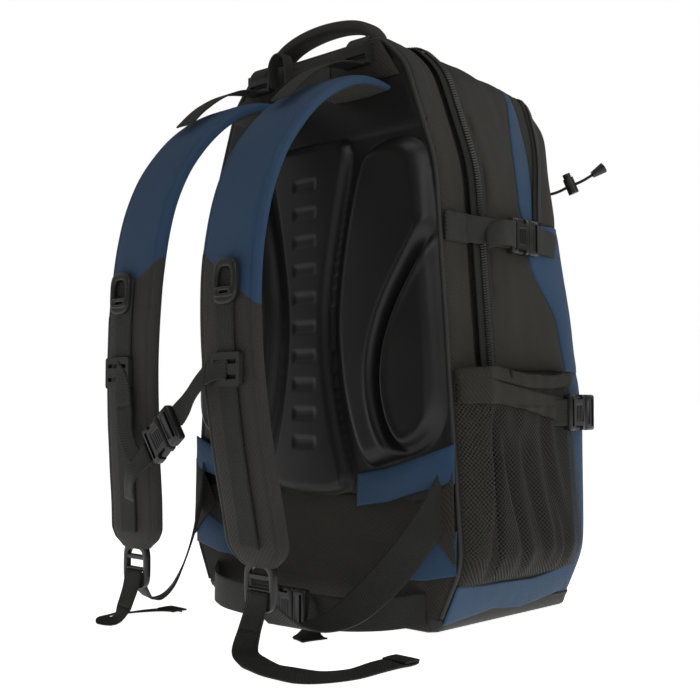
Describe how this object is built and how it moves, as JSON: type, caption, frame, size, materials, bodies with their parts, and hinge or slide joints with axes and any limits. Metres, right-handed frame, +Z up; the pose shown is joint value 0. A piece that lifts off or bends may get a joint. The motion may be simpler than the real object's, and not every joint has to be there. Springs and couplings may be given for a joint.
{
  "type": "solar backpack",
  "caption": "Laptop daypack with a solar panel on its front, moulded back panel, padded shoulder straps, mesh side pockets and compression straps.",
  "frame": {"origin": "on the floor under the middle of the base", "axes": "+Z up, +X the wearer's right side, +Y the front with the solar panel, -Y the back panel and straps"},
  "size_m": [0.4098, 0.477, 0.575],
  "materials": {
    "black_twill": "heavy black polyester twill",
    "eva_foam": "moulded EVA foam with a smooth laminated face",
    "navy_fabric": "navy blue nylon",
    "mesh": "black open mesh",
    "webbing": "black ribbed polypropylene webbing",
    "plastic": "black acetal",
    "zipper": "woven tape with a nylon coil",
    "metal": "dark plated zinc",
    "solar_backing": "fabric-faced foam",
    "solar_laminate": "polymer laminate",
    "solar_cell": "blue-black silicon under a clear film",
    "panel_border": "stitched textured binding",
    "elastic_cord": "braided sleeve on an elastic core"
  },
  "bodies": {
    "pack": {"back_board": "eva_foam", "spine_pad": "eva_foam", "back_pads": "eva_foam", "lumbar_pads": "navy_fabric", "top_yoke": "black_twill", "rear_gusset": "black_twill", "lower_shell": "black_twill", "base_panel": "black_twill", "corner_panels": "navy_fabric", "mesh_pockets": "mesh", "pocket_bindings": "black_twill", "laptop_sleeve": "black_twill", "body_zip_track": "zipper", "sewn_webbings": "webbing", "lower_sockets": "plastic", "lower_front_webbings": "webbing", "lifter_locks": "plastic", "lifter_webbings": "webbing", "lower_webbings": "webbing", "hip_webbings": "webbing", "hip_socket": "plastic"},
    "lid": {"lid_shell": "black_twill", "lid_zip_track": "zipper", "front_pocket": "navy_fabric", "pocket_zip_track": "zipper", "upper_rear_webbings": "webbing", "upper_sockets": "plastic", "upper_front_webbings": "webbing", "solar_pad": "solar_backing", "solar_sheet": "solar_laminate", "solar_cells": "solar_cell", "solar_border": "panel_border", "battery_pocket": "black_twill", "charge_hub": "plastic", "bungee_cord": "elastic_cord", "cord_lock": "plastic", "cord_toggle": "plastic"},
    "strap_right": {"shoulder_strap_right": "navy_fabric", "strap_trim_right": "webbing", "sternum_webbings": "webbing", "sternum_socket": "plastic"},
    "strap_left": {"shoulder_strap_left": "navy_fabric", "strap_trim_left": "webbing"},
    "lower_prong_right": {"lower_prong_right": "plastic"},
    "lower_prong_left": {"lower_prong_left": "plastic"},
    "hip_prong": {"hip_prong": "plastic"},
    "carry_handle": {"carry_handle": "black_twill"},
    "main_slider": {"main_slider": "metal"},
    "main_pull": {"main_pull": "plastic"},
    "upper_prong_right": {"upper_prong_right": "plastic"},
    "upper_prong_left": {"upper_prong_left": "plastic"},
    "battery_pack": {"battery_pack": "plastic"},
    "pocket_slider": {"pocket_slider": "metal"},
    "pocket_pull": {"pocket_pull": "plastic"},
    "cord_plunger": {"cord_plunger": "plastic"},
    "sternum_slider_right": {"sternum_slider_right": "plastic"},
    "sternum_slider_left": {"sternum_slider_left": "plastic"},
    "sternum_prong": {"sternum_prong": "plastic"},
    "ladder_lock_right": {"ladder_lock_right": "plastic"},
    "ladder_lock_left": {"ladder_lock_left": "plastic"}
  },
  "joints": [
    {"name": "lid_hinge", "type": "hinge", "parent": "pack", "child": "lid", "pos_m": [0, 0.163, 0.231], "axis": [-1, 0, 0], "range_deg": [0, 65], "deforming": ["upper_rear_webbings"]},
    {"name": "strap_swing_right", "type": "hinge", "parent": "pack", "child": "strap_right", "pos_m": [0.066, -0.1, 0.495], "axis": [-1, 0, 0], "range_deg": [0, 15], "deforming": ["lower_webbings", "lifter_webbings"]},
    {"name": "strap_swing_left", "type": "hinge", "parent": "pack", "child": "strap_left", "pos_m": [-0.066, -0.1, 0.495], "axis": [-1, 0, 0], "range_deg": [0, 15]},
    {"name": "carry_handle_fold", "type": "hinge", "parent": "pack", "child": "carry_handle", "pos_m": [0, -0.07, 0.5405], "axis": [-1, 0, 0], "range_deg": [0, 50], "stiffness_Nm_per_rad": 0.05},
    {"name": "lower_buckle_release_right", "type": "slide", "parent": "pack", "child": "lower_prong_right", "axis": [0, 1, 0], "range_m": [0, 0.024], "deforming": ["lower_front_webbings"]},
    {"name": "lower_buckle_release_left", "type": "slide", "parent": "pack", "child": "lower_prong_left", "axis": [0, 1, 0], "range_m": [0, 0.024]},
    {"name": "upper_buckle_release_right", "type": "slide", "parent": "lid", "child": "upper_prong_right", "axis": [0, 1, 0], "range_m": [0, 0.024], "deforming": ["upper_front_webbings"]},
    {"name": "upper_buckle_release_left", "type": "slide", "parent": "lid", "child": "upper_prong_left", "axis": [0, 1, 0], "range_m": [0, 0.024]},
    {"name": "hip_buckle_release", "type": "slide", "parent": "pack", "child": "hip_prong", "axis": [1, 0, 0], "range_m": [0, 0.024], "deforming": ["hip_webbings"]},
    {"name": "main_slider_travel", "type": "slide", "parent": "pack", "child": "main_slider", "axis": [0.0763, 0, 0.9971], "range_m": [-0.045, 0.045]},
    {"name": "main_pull_swing", "type": "hinge", "parent": "main_slider", "child": "main_pull", "pos_m": [-0.17217, -0.0483, 0.28893], "axis": [0, 1, 0], "range_deg": [0, 60]},
    {"name": "pocket_slider_travel", "type": "slide", "parent": "lid", "child": "pocket_slider", "axis": [-1, 0, 0], "range_m": [0, 0.17]},
    {"name": "pocket_pull_swing", "type": "hinge", "parent": "pocket_slider", "child": "pocket_pull", "pos_m": [0.088, 0.1727, 0.3282], "axis": [1, 0, 0], "range_deg": [0, 60]},
    {"name": "battery_slide", "type": "slide", "parent": "lid", "child": "battery_pack", "axis": [0, 0, 1], "range_m": [0, 0.065]},
    {"name": "cord_plunger_press", "type": "slide", "parent": "lid", "child": "cord_plunger", "axis": [0.2696, 0.2696, -0.9244], "range_m": [0, 0.003], "stiffness_N_per_m": 200},
    {"name": "sternum_slider_right_travel", "type": "slide", "parent": "strap_right", "child": "sternum_slider_right", "axis": [0, 0, 1], "range_m": [-0.03, 0.03], "deforming": ["sternum_webbings"]},
    {"name": "sternum_slider_left_travel", "type": "slide", "parent": "strap_left", "child": "sternum_slider_left", "axis": [0, 0, 1], "range_m": [-0.03, 0.03]},
    {"name": "sternum_buckle_release", "type": "slide", "parent": "strap_right", "child": "sternum_prong", "axis": [0.809, 0, 0.5878], "range_m": [0, 0.022]},
    {"name": "ladder_lock_tilt_right", "type": "hinge", "parent": "strap_right", "child": "ladder_lock_right", "pos_m": [0.086, -0.244, 0.0631], "axis": [1, 0, 0], "range_deg": [-15, 15]},
    {"name": "ladder_lock_tilt_left", "type": "hinge", "parent": "strap_left", "child": "ladder_lock_left", "pos_m": [-0.086, -0.244, 0.0631], "axis": [1, 0, 0], "range_deg": [-15, 15]}
  ],
  "couplings": [
    {"joint": "strap_swing_left", "follows": "strap_swing_right", "ratio": 1}
  ]
}
